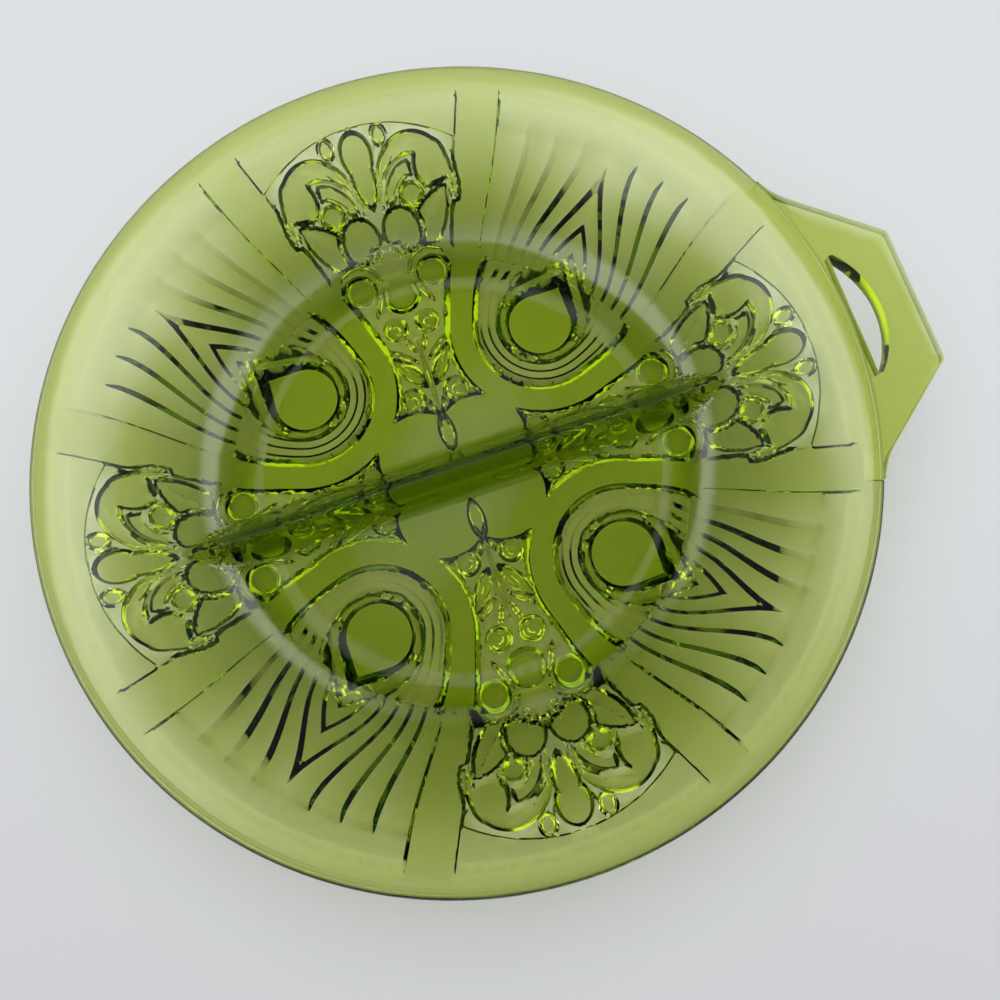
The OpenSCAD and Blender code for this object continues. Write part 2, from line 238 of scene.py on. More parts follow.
def fromLine(x, y, a, b):  # distance from a straight line between two points
    ax, ay, bx, by = *a, *b
    t = np.clip(((x - ax) * (bx - ax) + (y - ay) * (by - ay)) / ((bx - ax) ** 2 + (by - ay) ** 2), 0, 1)
    return np.hypot(x - ax - t * (bx - ax), y - ay - t * (by - ay))


def form(arcs, top, side, gap=1.2, base=ornament["hollow"], cuts=(), wide=None, veins=()):
    # arcs: (x, y, radius) filled where the radius is positive, hollow where it is negative
    # cuts: (x, y, nx, ny) half planes; veins: (from, to, half width, depth)
    return {"arcs": arcs, "top": top, "side": side, "gap": gap, "base": base, "cuts": cuts, "veins": veins,
            "wide": wide}


def leaf(foot, tip, width):  # two arcs that meet in its foot and its tip
    fx, fy, tx, ty = *foot, *tip
    half, bulge = math.hypot(tx - fx, ty - fy) / 2, width / 2
    big = (half * half + bulge * bulge) / (2 * bulge)
    mx, my, nx, ny = (fx + tx) / 2, (fy + ty) / 2, -(ty - fy) / (2 * half), (tx - fx) / (2 * half)
    return [(mx + nx * (big - bulge), my + ny * (big - bulge), big),
            (mx - nx * (big - bulge), my - ny * (big - bulge), big)]


def inside(shape, x, y):
    # distance inside a form's outline, negative outside it
    sd = np.full(np.shape(x), far)
    for cx, cy, r in shape["arcs"]:
        sd = np.minimum(sd, math.copysign(1, r) * (abs(r) - np.hypot(x - cx, y - cy)))
    for px, py, nx, ny in shape["cuts"]:
        sd = np.minimum(sd, (x - px) * nx + (y - py) * ny)
    if shape["wide"]:
        sd = np.maximum(sd, plotDisc(x, y, *shape["wide"]))
    return sd


def lay(h, shape, x, y):
    # A form with rounded sides over what lies behind it, with a groove along its outline
    sd, base = inside(shape, x, y), shape["base"]
    behind = base + (h - base) * ease(-sd / shape["gap"])
    top = base + (shape["top"] - base) * pillow(sd / shape["side"])
    for a, b, width, depth in shape["veins"]:
        top = top - depth * np.clip(1 - fromLine(x, y, a, b) / width, 0, 1) * ease(sd / shape["side"])
    return np.where(sd > 0, top, np.where(h > base, behind, h))


stamens = [(1.1, 69.5), (3.4, 68.8), (5.2, 67.4), (2.1, 67.1), (3.8, 65.9)]
palmette = [
    form([(12.5, 76.5, 9.2), (13.2, 74.2, -7.4)], 0.9, 1.2, cuts=[(13.5, 0, -1, 0), (0, 73, 0, 1)]),
    form([(13.4, 79.2, 11.3), (12.5, 76.5, -9.2)], 1.4, 1.3, cuts=[(0, 74.5, 0, 1)], wide=(18.9, 82.6, 5.2),
         veins=[((3.4, 78), (5.4, 82.8), 0.7, 0.5), ((5.4, 82.8), (9.4, 86.4), 0.7, 0.5),
                ((9.4, 86.4), (15, 87.6), 0.7, 0.4)]),
    form(leaf((0, 77.5), (0, 92), 7), 1.4, 1.2, wide=(0, 89, 4.7)),
    form([(7.4, 91.2, 2.0)], 1.0, 0.8, 0.5),
    form([(11.4, 77.5, 3.9)], 1.4, 1.4),
    form(leaf((7.5, 65.6), (21.8, 78), 9), 1.4, 1.3, veins=[((19.8, 76.6), (13.5, 70.5), 0.9, 0.6)]),
    form([(5.9, 71.9, 5.8)], 1.4, 1.3),
] + [form([(bx, by, 0.95)], 1.3, 0.8, 0.6) for bx, by in stamens] + [
    form([(10.5, 60, 6.9), (10.5, 59.4, -5.2)], 1.35, 0.8, cuts=[(0, 61, 0, 1)]),
    form([(10.5, 59.6, 4.6)], 1.3, 1.6),
]
spray = [
    form(leaf((0.5, 26), (8.7, 38.2), 5.0), 1.2, 1.2, veins=[((1, 27), (7.6, 36.8), 0.6, 0.5)]),
    form(leaf((1, 34), (8.5, 40.5), 1.9), 1.1, 0.8),
    form(leaf((0.9, 37), (3.2, 42.6), 2.1), 1.1, 0.8),
    form(leaf((0.8, 18.2), (3.4, 24.7), 2.1), 1.1, 0.8),
    form([(4.6, 45.6, 3.7)], 1.25, 2.2),
    form([(5.2, 45.3, 1.5)], 1.15, 1.2, 0.6, 0.4),
    form([(6.2, 23.9, 3.8)], 1.25, 2.2),
    form([(6.8, 23.6, 1.5)], 1.15, 1.2, 0.6, 0.4),
    form([(0, 55, 5.6)], 1.35, 3),
    form(leaf((4.6, 59.6), (8.9, 49.6), 2.1), 1.2, 0.8),
    form(leaf((0, 17), (0, 42.5), 1.7), 1.1, 0.8),
]
field = {
    "lobe": form([(8.4, 8.4, 12.3)], 1.4, 1.0),
    "groove": form(leaf((0, 6.2), (0, 20.2), 4.9), 1.4, 1.0),
    "core": form(leaf((0, 8), (0, 16.8), 2.5), 1.25, 0.8),
}


def lineAngle(k, r):  # flute line k on the wall, degrees from the palmette's axis
    o = ornament
    s = ease((r - dish["heelR"]) / (o["lineEnd"] - dish["heelR"]))
    pitch = o["footPitch"] + (o["endPitch"] - o["footPitch"]) * s
    return o["fanFoot"] + (o["fanEnd"] - o["fanFoot"]) * s - k * pitch


def ringRadius(k, a):  # ring line k at an angle a round the eye, and the angle of its foot
    o = ornament
    r = o["firstRing"] + o["ringPitch"] * (k - 1)
    if k > edgeLine:
        r = o["ribbonIn"] + (o["ribbonOut"] - o["ribbonIn"]) / o["ribbonLines"] * (k - edgeLine)
    foot = math.radians(45 - o["fanFoot"] + o["footPitch"] * k)
    fu, fv = dish["heelR"] * math.cos(foot) - o["eyeAt"], dish["heelR"] * math.sin(foot)
    reach, end = math.hypot(fu, fv), math.degrees(math.atan2(fv, fu))
    opening = np.clip(1 - (a - end) / (o["opens"] - end), 0, 1)
    return r + (reach - r) * opening ** 2, end


def eyeFrame(x, y):  # a point from the eye, along the diagonal and across it
    return (x + y) / math.sqrt(2) - ornament["eyeAt"], np.abs(y - x) / math.sqrt(2)


def lineCount(x, y):
    # Number of the flute or ring line that passes through a point; whole numbers are the lines
    o = ornament
    r, phi = np.hypot(x, y), np.degrees(np.arctan2(x, y))
    wall = (lineAngle(0, r) - phi) / (lineAngle(0, r) - lineAngle(1, r))
    u, v = eyeFrame(x, y)
    rho, a = np.hypot(u, v), np.degrees(np.arctan2(v, u))
    eye = np.full_like(x, lastLine)
    last, lastK = None, None
    for k in np.arange(-2, lastLine + 0.01, lineGap):
        line = ringRadius(k, a)[0]
        if last is None:
            eye = np.where(rho < line, k - (line - rho) / o["ringPitch"], eye)
        else:
            hit = (rho >= last) & (rho < line)
            eye = np.where(hit, lastK + lineGap * (rho - last) / np.maximum(line - last, 1e-6), eye)
        last, lastK = line, k
    return np.where(r > dish["heelR"], wall, eye)


def lookUp(table, r):
    return np.interp(r, [p[0] for p in table], [p[1] for p in table])


def reliefDepth(r):  # of rings up to the heel, of flutes on the wall
    o = ornament
    return np.where(r > dish["heelR"], lookUp(o["fluteDeep"], r), lookUp(o["ringDeep"], r))


def steepShare(r):  # share of a line's pitch that its steep face takes
    o = ornament
    at = np.maximum(r, dish["heelR"])
    pitch = np.where(r > dish["heelR"], at * np.radians(lineAngle(0, at) - lineAngle(1, at)), o["ringStep"])
    slope = np.where(r > dish["heelR"], o["steep"], o["ringSteep"])
    return np.clip(reliefDepth(r) / slope / pitch, *o["shareRange"])


def sawOf(k, share):
    # 0 in the valleys, 1 on the crests; each steep face falls to the valley after it
    f = k - np.floor(k)
    saw = np.minimum(f / (1 - share), (1 - f) / share)
    saw = np.where(k < 0, np.minimum(1 + (k + share) * ornament["lead"], -k / share), saw)
    return np.where(k > edgeLine - 1, k - (edgeLine - 1), saw)


def rimLevel(r):  # plain zone under the rim
    o = ornament
    return o["rimH"] + (dish["reliefH"] - o["rimH"]) * easeFrom(o["rimRise"], r)


def strapAngle(r):  # a strap's edge at the panel, degrees from the palmette's axis
    o = ornament
    return o["strapFoot"] + (o["strapEnd"] - o["strapFoot"]) * ((r - dish["heelR"]) / o["strapRun"])


def chevronWidth(x):
    o = ornament
    return o["chevronW"] - o["chevronTaper"] * np.maximum(0, o["chevronAt"] - x) ** 2


def panelSides(x, y):  # distances inside the sides and the top arc of a palmette's panel
    o = ornament
    r, phi = np.hypot(x, y), np.degrees(np.arctan2(x, y))
    side = r * np.sin(np.radians(strapAngle(np.maximum(r, o["strapLow"])) - phi))
    return side, plotDisc(x, y, 0, o["panelMid"], o["panelR"])


def panelDepth(x, y):
    return np.minimum(*panelSides(x, y))


def underZ(px, py):
    # height of the underside, in which every eighth mirrors its neighbours
    x, y = np.minimum(np.abs(px), np.abs(py)), np.maximum(np.abs(px), np.abs(py))
    o, full = ornament, dish["reliefH"]
    r, phi = np.hypot(x, y), np.degrees(np.arctan2(x, y))
    k = lineCount(x, y)
    step = 0.02
    grad = np.clip(np.hypot(lineCount(x + step, y) - k, lineCount(x, y + step) - k) / step, 0.02, 2)

    # flutes on the wall, rings round the eye
    saw = sawOf(k, steepShare(r))
    deep = reliefDepth(r)
    out = np.maximum(0, r - (o["fanR"] - (o["fluteH"] - o["rimH"]) / o["fade"]))
    flute = o["fluteH"] - deep * (1 - saw) - o["fade"] * out
    ring = o["ringTop"] - deep * (1 - np.where(k < 1, 0, np.where(k > edgeLine, 1, saw)))
    h = np.where(r < dish["heelR"], np.where(k < edgeLine, ring, full * easeFrom(o["heelFrom"], r)),
                 np.where(k < edgeLine, flute, full))

    # straps, panels of the palmettes, plain zone under the rim
    side, arc = panelSides(x, y)
    lineSide = (k - edgeLine) / grad
    strapH = full * np.minimum(np.clip(-side / o["strapRamp"] + 0.5, 0, 1),
                               np.clip(lineSide / o["edgeRamp"] + 1, 0, 1))
    panel = np.where((r < dish["heelR"]) & (k < o["ribbonEdge"]), -far, np.minimum(side, arc))
    inPanel = np.clip(panel / o["strapRamp"] + 0.5, 0, 1)
    h = h * (1 - inPanel) + o["hollow"] * inPanel
    h = np.where((r < o["fieldEnd"]) & (k > o["ribbonEdge"]), o["hollow"], h)
    over = np.clip(0.5 - arc / o["arcRamp"], 0, 1)
    outer = np.where(k > edgeLine - 0.1, o["hollow"] + (rimLevel(r) - o["hollow"]) * over,
                     np.where(r > o["fanR"], rimLevel(r), -far))
    beyond = np.maximum(np.where(k < edgeLine, np.maximum(h, outer), outer), strapH)
    h = np.where((r > o["panelTop"]) & (k > edgeLine - 1), beyond, np.where(r > o["fanR"], outer, h))
    nearest = np.minimum(np.abs(lineSide), np.where(r > o["sideSeamFrom"], np.abs(side), far))
    seam = np.clip(1 - nearest / o["seamHalf"], 0, 1)
    h = h - o["seamDeep"] * seam * easeFrom(o["seamFrom"], r) * easeBefore(o["seamEnd"], r)

    # palmettes and sprays
    plain = h
    for shape in palmette:
        h = np.where((phi < o["palmetteHalf"]) & (k > edgeLine), lay(h, shape, x, y), h)
    for shape in spray:
        h = np.where((r < o["sprayEnd"]) & (k > o["ribbonEdge"]), lay(h, shape, x, y), h)
    h = h + (plain - h) * easeFrom(o["palmetteEnd"], r)
    ground, lean = groundZ(r)
    z = ground - h * lean

    # pads in the standing plane: disc with its point, ribbon, middle field
    u, v = eyeFrame(x, y)
    away = np.where(x > eyeX, y - eyeX, np.hypot(u, v)) - o["discR"]
    width = chevronWidth(x)
    inGroove = (away < width) & (away > 0)
    groove = np.minimum(outZ(r) + (width - away) * o["chevronSlope"], insideZ(r) - o["chevronLeft"])
    pastIt = outZ(r) + np.maximum(away - width, 0) * o["chevronOut"] + (width < 0) * far
    z = np.where(inGroove, groove, np.minimum(z, pastIt))
    pads = np.where(inGroove, away * o["chevronIn"], np.maximum(away, 0) * o["padSlope"])
    ribbon = np.minimum(np.minimum(lineSide, (o["ribbonEdge"] - k) / grad), dish["heelR"] - r)
    lobe = np.minimum(inside(field["lobe"], x, y), -inside(field["groove"], x, y))
    core = np.maximum(-inside(field["core"], x, y), 0) * o["coreSide"] + o["coreGap"]
    for pad in (ribbon, lobe):
        pads = np.minimum(pads, np.maximum(-pad, 0) * o["ribbonSide"])
    pads = np.where(r > o["padsEnd"], far, np.minimum(pads, core))
    return np.maximum(np.minimum(z, pads), 0)


# Mesh of the glass
bar = {
    "slope": 2.0,
    "topR": 1.6,
    "height": 10.6,
    "blend": 0.5,
    "blendReach": 30,
}
meshing = {
    "fine": 0.5,  # pitch of the lattice where the surface bends sharply
    "along": 0.7,  # spacing of points on feature lines
    "tight": 0.2,  # least distance between points of different lines
    "sharp": 0.16,  # bends that call for the fine and the middle lattice
    "middle": 0.03,
    "probe": 0.25,  # bends are measured over this distance
    "sharpGap": 0.85,  # least distance of lattice points, in pitches
    "plainGap": 1.4,
    "borderStep": 0.6,
    "borderGap": 0.12,
    "lineStart": 0.35,  # lines on the wall start so far beyond the heel
    "lineEnd": 98.6,
    "ringLines": (1, 2, 3, 4, 5, ornament["ribbonEdge"], 5.2, 4.72, 7.0, 7.5),
    "backShare": 0.35,  # line on a ring's gentle side
    "discLines": (0, 0.15, 0.6, 1.1),  # out from the disc
    "fluteParts": (0.33, 0.67),  # lines on a flute's gentle side
    "fadeLines": (0, 1.75),  # back from the end of the flutes
    "fadeFrom": 24,  # degrees
    "chevronRows": (18, 50),
    "strapFrom": 58,
    "arcShare": 0.44,
    "arcFrom": 60,
    "palmetteFrom": 55,
    "onLine": 0.05,
    "settleFrom": (63, 6),  # from here the relief stands square to the wall
    "settleEnd": (0.1, 1.5),
    "insideRings": [(10, 50, 4), (50, 76, 1.3), (77, 96, 2.2)],  # from, to, step
    "barRuns": [(1.5, 62, 1.5), (62, 82, 0.55)],
    "barRows": [0.35, 0.7, 1.05, 1.43, 1.8, 2.5, 3.4, 4.3, 5.1, 5.7, 6.1, 6.5, 6.9, 7.4, 8.1],
    "barHalf": 9.2,
    "barEnd": 82,
    "insideGap": 0.8,
    "alongBar": 130,  # parts of the quarter's straight borders
    "acrossBar": 60,
    "edgeSteps": 14,
    "snap": 1e-4,
    "leastArea": 1e-10,
    "weld": 0.002,
    "shortest": 0.0005,
}


def barZ(y):
    y = np.abs(y)
    a = math.atan(bar["slope"])
    top = dish["floorTop"] + bar["height"]
    edge = bar["topR"] * math.sin(a)
    cap = top - bar["topR"] + np.sqrt(np.maximum(bar["topR"] ** 2 - np.minimum(y, edge) ** 2, 0))
    edgeZ = top - bar["topR"] * (1 - math.cos(a))
    return np.where(y < edge, cap, edgeZ - (y - edge) * bar["slope"])


def upperZ(x, y):  # inside of the dish, from which the bar rises with a soft foot
    floor, ridge = insideZ(np.hypot(x, y)), barZ(y)
    k, reach = bar["blend"], bar["blendReach"]
    gap = np.clip((floor - ridge) / k, -reach, reach)
    return np.where(np.abs(gap) < reach, ridge + k * np.log1p(np.exp(gap)), np.maximum(floor, ridge))


def triangulate(name, points, border, lines=()):
    # points in plan, a closed border of indices into them and lines that stay edges
    edges = [(border[i], border[(i + 1) % len(border)]) for i in range(len(border))] + list(lines)
    found = delaunay_2d_cdt([Vector(p) for p in points], edges, [], 0, meshing["snap"])
    bm = bmesh.new()
    verts = [bm.verts.new((p[0], p[1], 0)) for p in found[0]]
    for f in found[2]:
        a, b, c = (found[0][i] for i in f)
        if abs((b - a).cross(c - a)) > meshing["leastArea"]:
            bm.faces.new([verts[i] for i in f])
    loose = [v for v in bm.verts if not v.link_faces]
    bmesh.ops.delete(bm, geom=loose, context="VERTS")
    print(name, "triangles in its wedge:", len(bm.faces))
    return bm


def settle(bm):
    # The relief stands square to the wall, so its points move along the wall's normal
    co = np.array([v.co[:2] for v in bm.verts])
    r, z = np.hypot(co[:, 0], co[:, 1]), underZ(co[:, 0], co[:, 1])
    slope, lean = wallLean(r)
    deep = (z - strapZ(r)) / lean
    share = easeFrom(meshing["settleFrom"], r) * easeBefore(meshing["settleEnd"], r)
    part = 1 - share * deep * slope / lean / np.maximum(r, 1)
    z = z + share * (strapZ(r) + deep / lean - z)
    for v, p, height in zip(bm.verts, part, z):
        v.co = (v.co.x * float(p), v.co.y * float(p), float(height))


def addMirror(bm, axis, matrix=Matrix.Identity(4)):
    geom = bm.verts[:] + bm.edges[:] + bm.faces[:]
    bmesh.ops.mirror(bm, geom=geom, matrix=matrix, merge_dist=meshing["snap"], axis=axis)


class Scatter:
    # Points in the wedge that keep a distance from each other, and the lines between them
    def __init__(self):
        self.points, self.lines, self.cells = [], [], {}

    def near(self, x, y, gap):
        i, j = int(x // 1), int(y // 1)
        reach = int(gap) + 1
        for a in range(i - reach, i + reach + 1):
            for b in range(j - reach, j + reach + 1):
                for n in self.cells.get((a, b), ()):
                    p = self.points[n]
                    if (p[0] - x) ** 2 + (p[1] - y) ** 2 < gap * gap:
                        return True
        return False

    def put(self, x, y):
        self.cells.setdefault((int(x // 1), int(y // 1)), []).append(len(self.points))
        self.points.append((x, y))
        return len(self.points) - 1

    def line(self, xs, ys, keep=None):
        # a line breaks off near the wedge's border and near points that are already there
        last = None
        for x, y, ok in zip(xs, ys, np.ones(len(xs), bool) if keep is None else keep):
            edge = min(x, (y - x) * 0.7, dish["skinEnd"] - math.hypot(x, y))
            if not ok or edge < meshing["borderGap"] or self.near(x, y, meshing["tight"]):
                last = None
                continue
            n = self.put(float(x), float(y))
            if last is not None:
                self.lines.append((last, n))
            last = n


def arcPoints(cx, cy, r):
    n = max(8, int(2 * math.pi * r / meshing["along"]))
    a = np.linspace(0, 2 * math.pi, n + 1)
    return cx + r * np.cos(a), cy + r * np.sin(a)


def polar(r, phi):  # phi from the palmette's axis
    return r * np.sin(phi), r * np.cos(phi)


def roundEye(rho, a):  # a point round the eye, along the diagonal and across it
    return ornament["eyeAt"] + rho * np.cos(np.radians(a)), rho * np.sin(np.radians(a))


def fluteLines(scatter):
    # valleys and crests first, then lines between them
    o, end = ornament, meshing["lineEnd"]
    start = dish["heelR"] + meshing["lineStart"]
    r = np.linspace(start, o["fanR"] - 0.1, int((o["fanR"] - dish["heelR"]) / meshing["along"]))
    share = steepShare(r)
    for part in [0 * r, 1 - share, 1 - share / 2] + [f * (1 - share) for f in meshing["fluteParts"]]:
        for k in range(-1, edgeLine):
            phi = np.radians(lineAngle(k + part, r))
            scatter.line(*polar(r, phi), phi < math.pi / 4)
    r = np.linspace(start, end, int((end - start) / meshing["along"]))
    for off in (0, o["seamHalf"], -o["seamHalf"]):
        phi = np.radians(lineAngle(edgeLine, r)) - off / r
        scatter.line(*polar(r, phi), r > o["seamFrom"][0])
    phi = np.linspace(math.radians(meshing["fadeFrom"]), math.pi / 4, 40)
    for back in meshing["fadeLines"]:
        scatter.line(*polar(np.full(len(phi), o["fanR"] - back), phi))


def ringLines(scatter):
    # rings and ribbon, then the rings' crests, steep sides and backs
    o, step = ornament, meshing["along"]
    wanted = [(k, 0) for k in meshing["ringLines"]]
    wanted += [(k, f) for f in (1, 0.5) for k in (1, 2, 3, 4)]
    wanted += [(k + meshing["backShare"], 0) for k in (1, 2, 3)]
    for k, f in wanted:
        foot = ringRadius(k, np.array([90.0]))[1]
        a = np.linspace(foot, 180, int(math.pi * (o["firstRing"] + 2 * k) / step))
        rho = ringRadius(k, a)[0]
        for _ in range(2 if f else 0):
            share = steepShare(np.minimum(np.hypot(*roundEye(rho, a)), dish["heelR"] - 0.1))
            up = k + 1 - share * f
            rho = np.array([ringRadius(float(n), np.array([b]))[0][0] for n, b in zip(up, a)])
        u, v = roundEye(rho, a)
        x, y = (u - v) / math.sqrt(2), (u + v) / math.sqrt(2)
        scatter.line(x, y, np.hypot(x, y) < dish["heelR"] - 0.3)

    # disc with its point
    for off in meshing["discLines"]:
        x, y = arcPoints(eyeX, eyeX, o["discR"] + off)
        scatter.line(x, y, x < eyeX)
        x = np.arange(eyeX, meshing["chevronRows"][1], step)
        scatter.line(x, np.full(len(x), eyeX + o["discR"] + off))
    x = np.arange(*meshing["chevronRows"], step)
    width = chevronWidth(x)
    for off in (0, 0.5):
        reach = o["discR"] + width + off
        bent = np.sqrt(np.maximum(reach ** 2 - np.maximum(eyeX - x, 0) ** 2, 0))
        scatter.line(x, eyeX + np.where(x < eyeX, bent, reach), width > 0.2)


def strapLines(scatter):
    # edges of the straps and the arcs over the palmettes
    o = ornament
    r = np.arange(meshing["strapFrom"], meshing["lineEnd"], meshing["along"])
    for off in (0, -0.5, 0.5):
        x, y = polar(r, np.radians(strapAngle(r)) - off / r)
        scatter.line(x, y, (panelDepth(x, y) > off - 0.1) | (r > o["sideSeamFrom"]))
        back = meshing["arcShare"] * off
        x, y = arcPoints(0, o["panelMid"], o["panelR"] - back)
        scatter.line(x, y, (np.abs(panelDepth(x, y) - back) < meshing["onLine"]) & (y > meshing["arcFrom"]))


def formLines(scatter, forms, where):
    # lines at several distances from each form's outline, up to the forms laid over it
    for i, shape in enumerate(forms):
        side, gap = shape["side"], shape["gap"]
        levels = [0, 0.3 * side, 0.65 * side, side, -gap / 2, -gap]
        if len(shape["arcs"]) == 1 and side > 2:
            levels += [0.15 * side]
        circles = list(shape["arcs"]) + ([shape["wide"]] if shape["wide"] else [])
        for level in levels:
            for cx, cy, r in circles:
                at = abs(r) - math.copysign(level, level * r)
                if at < 0.3:
                    continue
                x, y = arcPoints(cx, cy, at)
                keep = (np.abs(inside(shape, x, y) - level) < meshing["onLine"]) & where(x, y)
                for later in forms[i + 1:]:
                    keep &= inside(later, x, y) < 0.1
                scatter.line(x, y, keep)


def latticePoints(scatter):
    # all three levels where the surface bends sharply, the coarse one where it is plain
    fine, end, d = meshing["fine"], dish["skinEnd"], meshing["probe"]
    xs, ys, level = [], [], []
    for j in range(int(end / (fine * math.sqrt(3) / 2))):
        y = j * fine * math.sqrt(3) / 2
        i = np.arange(0, int(y / fine) + 2)
        xs.append((i + 0.5 * (j % 2)) * fine)
        ys.append(np.full(len(i), y))
        level.append(np.where((j % 4 == 0) & (i % 4 == 0), 2, np.where((j % 2 == 0) & (i % 2 == 0), 1, 0)))
    x, y, level = (np.concatenate(part) for part in (xs, ys, level))
    within = (x > 0.4 * fine) & (y - x > 0.55 * fine) & (np.hypot(x, y) < end - 0.5 * fine)
    x, y, level = x[within], y[within], level[within]
    bend, here = np.zeros(len(x)), underZ(x, y)
    for dx, dy in ((d, 0), (0, d), (d * 0.7, d * 0.7), (d * 0.7, -d * 0.7)):
        bend = np.maximum(bend, np.abs(underZ(x + dx, y + dy) + underZ(x - dx, y - dy) - 2 * here))
    sharp = bend > meshing["sharp"] * d
    keep = (level == 2) | sharp | ((level >= 1) & (bend > meshing["middle"] * d))
    for px, py, dense in zip(x[keep], y[keep], sharp[keep]):
        if not scatter.near(px, py, fine * (meshing["sharpGap"] if dense else meshing["plainGap"])):
            scatter.put(float(px), float(py))


def undersideMesh():
    o, end = ornament, dish["skinEnd"]
    scatter = Scatter()
    steps = int(end / meshing["borderStep"])
    corner = end / math.sqrt(2)
    border = [(corner * (1 - i / steps), corner * (1 - i / steps)) for i in range(steps)]
    border += [(0, end * i / steps) for i in range(steps)]
    border += [(end * math.sin(math.radians(i)), end * math.cos(math.radians(i))) for i in range(45)]
    for p in border:
        scatter.put(*p)
    fluteLines(scatter)
    ringLines(scatter)
    strapLines(scatter)
    formLines(scatter, palmette[::-1],
              lambda x, y: (panelDepth(x, y) > -0.4) & (y > meshing["palmetteFrom"]))
    formLines(scatter, spray[::-1],
              lambda x, y: (y < o["sprayEnd"]) & (lineCount(x, y) > o["ribbonEdge"] + 0.1))
    formLines(scatter, list(field.values()), lambda x, y: y > 0)
    print("points on lines:", len(scatter.points))
    latticePoints(scatter)
    print("underside points:", len(scatter.points))
    bm = triangulate("underside", scatter.points, list(range(len(border))), scatter.lines)
    settle(bm)
    addMirror(bm, "X")
    addMirror(bm, "Y")
    addMirror(bm, "Y", Matrix.Rotation(math.radians(45), 4, "Z"))
    return bm


def stepped(runs):
    return np.concatenate([np.arange(*run) for run in runs])


def insideMesh():
    # one quarter: rings of points for the bowl, rows of points along the bar
    end = dish["insideEnd"]
    points = []
    for r in stepped(meshing["insideRings"]):
        n = max(4, int(r * math.pi / 2 / min(3.2, 1 + 0.04 * r)))
        for i in range(1, n):
            a = math.pi / 2 * i / n
            if r * math.sin(a) > meshing["barHalf"] or r > meshing["barEnd"]:
                points.append((r * math.cos(a), r * math.sin(a)))
    for x in stepped(meshing["barRuns"]):
        points += [(x, y) for y in meshing["barRows"] if math.hypot(x, y) < meshing["barEnd"]]
    points = [p for p in points if math.hypot(*p) < end - meshing["insideGap"]]
    border = [(end * i / meshing["alongBar"], 0) for i in range(meshing["alongBar"])]
    border += [(end * math.cos(math.radians(i)), end * math.sin(math.radians(i))) for i in range(90)]
    border += [(0, end * (1 - i / meshing["acrossBar"])) for i in range(meshing["acrossBar"])]
    bm = triangulate("inside", border + points, list(range(len(border))))
    co = np.array([v.co[:2] for v in bm.verts])
    for v, z in zip(bm.verts, upperZ(co[:, 0], co[:, 1])):
        v.co.z = float(z)
    addMirror(bm, "X")
    addMirror(bm, "Y")
    return bm


def rimMesh():
    # the rim's round edge, turned, from the end of the relief to the inside
    bm = bmesh.new()
    path = [(dish["skinEnd"], float(underZ(np.array([0.0]), np.array([dish["skinEnd"]]))[0]))]
    start = math.radians(rimSlope - 90)
    for i in range(meshing["edgeSteps"] + 1):
        a = start + math.pi * i / meshing["edgeSteps"]
        path.append((midR + dish["edgeR"] * math.cos(a), midZ + dish["edgeR"] * math.sin(a)))
    path += [(p[0], p[1]) for p in reversed(inPath[:-1]) if p[0] > dish["insideEnd"] + 0.2]
    path.append((dish["insideEnd"], float(insideZ(dish["insideEnd"]))))
    verts = [bm.verts.new((r, 0, z)) for r, z in path]
    edges = [bm.edges.new(pair) for pair in zip(verts, verts[1:])]
    bmesh.ops.spin(bm, geom=verts + edges, axis=(0, 0, 1), cent=(0, 0, 0), steps=dish["turns"],
                   angle=2 * math.pi, use_merge=True, use_duplicate=False)
    return bm


def joined(parts, name):
    whole = bmesh.new()
    for bm in parts:
        mesh = bpy.data.meshes.new("part")
        bm.to_mesh(mesh)
        whole.from_mesh(mesh)
        bpy.data.meshes.remove(mesh)
        bm.free()
    bmesh.ops.remove_doubles(whole, verts=whole.verts, dist=meshing["weld"])
    bmesh.ops.dissolve_degenerate(whole, edges=whole.edges, dist=meshing["shortest"])
    bmesh.ops.recalc_face_normals(whole, faces=whole.faces)
    openEdges = sum(1 for e in whole.edges if len(e.link_faces) != 2)
    print(name, "faces:", len(whole.faces), "open edges:", openEdges)
    return whole


def toObject(bm, name):
    mesh = bpy.data.meshes.new(name)
    bm.to_mesh(mesh)
    bm.free()
    obj = bpy.data.objects.new(name, mesh)
    bpy.context.scene.collection.objects.link(obj)
    return obj


# Handle
handle = {
    "endX": 118.8,
    "endHalf": 17.5,
    "rootHalf": 36.5,
    "thick": 4.4,
    "drop": 0.6,
    "cornerR": 2.2,
    "cornerSteps": 6,
    "blendR": 18,
    "blendSteps": 12,
    "slotX": 102.4,
    "slotW": 7.4,
    "slotHalf": 16,
    "slotArcHalf": 17.2,  # half chord of the slot's curved side, past its ends
    "slotSteps": 8,
    "soft": 1.1,  # rounding of its edges
    "softSteps": 4,
    "sharp": 0.9,  # edges that turn more than this are rounded, in radians
    "inTop": 99.9,  # the tab ends inside the rim's glass
    "inFoot": 97.2,
    "inSteps": 20,
}


